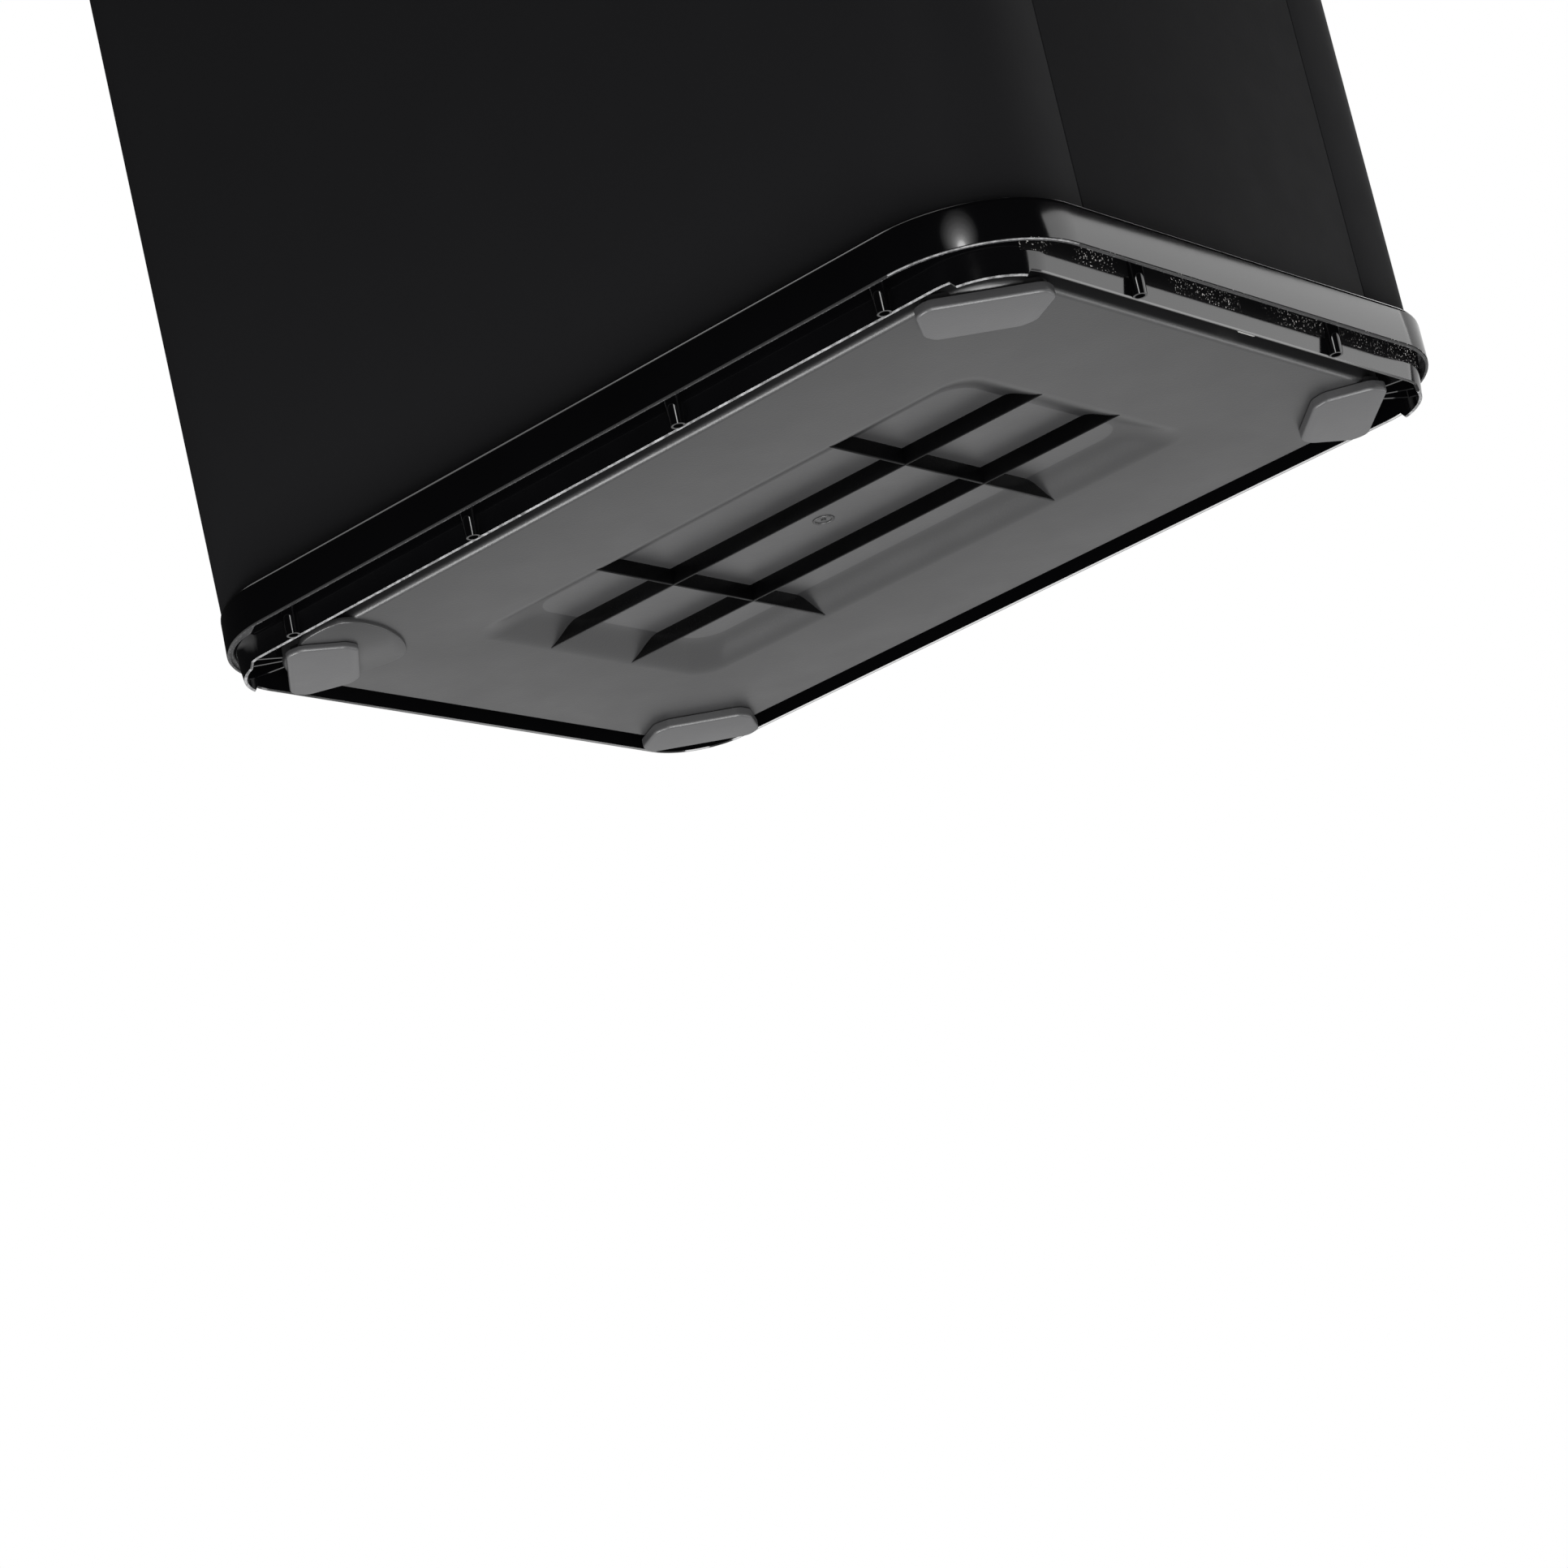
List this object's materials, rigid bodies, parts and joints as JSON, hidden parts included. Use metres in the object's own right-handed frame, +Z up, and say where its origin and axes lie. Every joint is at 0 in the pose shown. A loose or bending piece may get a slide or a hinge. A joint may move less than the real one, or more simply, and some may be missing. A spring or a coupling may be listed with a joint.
{
  "type": "trash compactor",
  "caption": "Tall kitchen bin on a moulded base, with a hinged lid, a hand plunger that drives a press plate, and a lift-out bucket.",
  "frame": {"origin": "on the floor, under the middle of the bounding box, with the lid closed", "axes": "+Z up, the front of the bin faces -Y, the hinge is at +Y, +X is the right side seen from behind"},
  "size_m": [0.3016, 0.44, 0.664],
  "materials": {
    "casing_paint": "satin black powder coat on sheet steel",
    "ring_plastic": "moulded black, high gloss",
    "plate_plastic": "moulded black, fine satin texture",
    "foot_rubber": "matte dark grey",
    "top_plastic": "moulded black, satin gloss",
    "inner_plastic": "moulded grey, fine texture",
    "bucket_plastic": "moulded grey, fine texture",
    "bush_plastic": "natural acetal",
    "lock_plastic": "moulded light grey",
    "grip_plastic": "moulded black, satin gloss",
    "grip_rubber": "matte black with grooves",
    "seal_rubber": "matte black",
    "filter_felt": "carbon-loaded felt",
    "steel": "zinc-plated",
    "rod_steel": "polished",
    "magnet": "nickel-plated"
  },
  "bodies": {
    "body": {"outer_casing": "casing_paint", "back_panel": "casing_paint", "base_ring": "ring_plastic", "base_plate": "plate_plastic", "foot_front_left": "foot_rubber", "foot_front_right": "foot_rubber", "foot_rear_left": "foot_rubber", "foot_rear_right": "foot_rubber", "base_screw_1": "steel", "base_screw_2": "steel", "base_screw_3": "steel", "base_screw_4": "steel", "top_collar": "top_plastic", "mouth_seal": "seal_rubber", "lid_buffer_1": "seal_rubber", "lid_buffer_2": "seal_rubber", "lid_buffer_3": "seal_rubber", "lid_buffer_4": "seal_rubber", "rear_housing": "top_plastic", "housing_screw_1": "steel", "housing_screw_2": "steel", "hinge_pin": "steel", "catch_magnet": "magnet"},
    "lid": {"lid_shell": "top_plastic", "lid_tray": "top_plastic", "lid_liner": "inner_plastic", "lid_screw_1": "steel", "lid_screw_2": "steel", "lid_screw_3": "steel", "lid_screw_4": "steel", "catch_strike": "steel", "filter_cassette": "inner_plastic", "carbon_filter": "filter_felt", "rod_bush_left": "bush_plastic", "rod_bush_right": "bush_plastic"},
    "filter_door": {"filter_cover": "inner_plastic"},
    "plunger": {"press_plate": "inner_plastic", "plate_wiper": "seal_rubber", "plunger_rod_left": "rod_steel", "plunger_rod_right": "rod_steel", "plunger_head": "top_plastic", "rod_screw_1": "steel", "rod_screw_2": "steel", "grip_pin_left": "steel", "grip_pin_right": "steel"},
    "grip": {"grip_handle": "grip_plastic", "grip_sleeve": "grip_rubber"},
    "lock": {"lock_slide": "lock_plastic"},
    "bucket": {"inner_bucket": "bucket_plastic", "bucket_rim": "bucket_plastic"}
  },
  "joints": [
    {"name": "lid_hinge", "type": "hinge", "parent": "body", "child": "lid", "pos_m": [0, 0.163, 0.6575], "axis": [-1, 0, 0], "range_deg": [0, 72]},
    {"name": "plunger_stroke", "type": "slide", "parent": "lid", "child": "plunger", "axis": [0, 0, 1], "range_m": [0, 0.1]},
    {"name": "grip_fold", "type": "hinge", "parent": "plunger", "child": "grip", "pos_m": [0, -0.01, 0.6545], "axis": [-1, 0, 0], "range_deg": [0, 90]},
    {"name": "lock_travel", "type": "slide", "parent": "lid", "child": "lock", "axis": [0, -1, 0], "range_m": [0, 0.008]},
    {"name": "filter_cover_hinge", "type": "hinge", "parent": "lid", "child": "filter_door", "pos_m": [0, 0.1425, 0.614], "axis": [1, 0, 0], "range_deg": [0, 70]},
    {"name": "bucket_lift", "type": "slide", "parent": "body", "child": "bucket", "axis": [0, 0, 1], "range_m": [0, 0.008]}
  ]
}
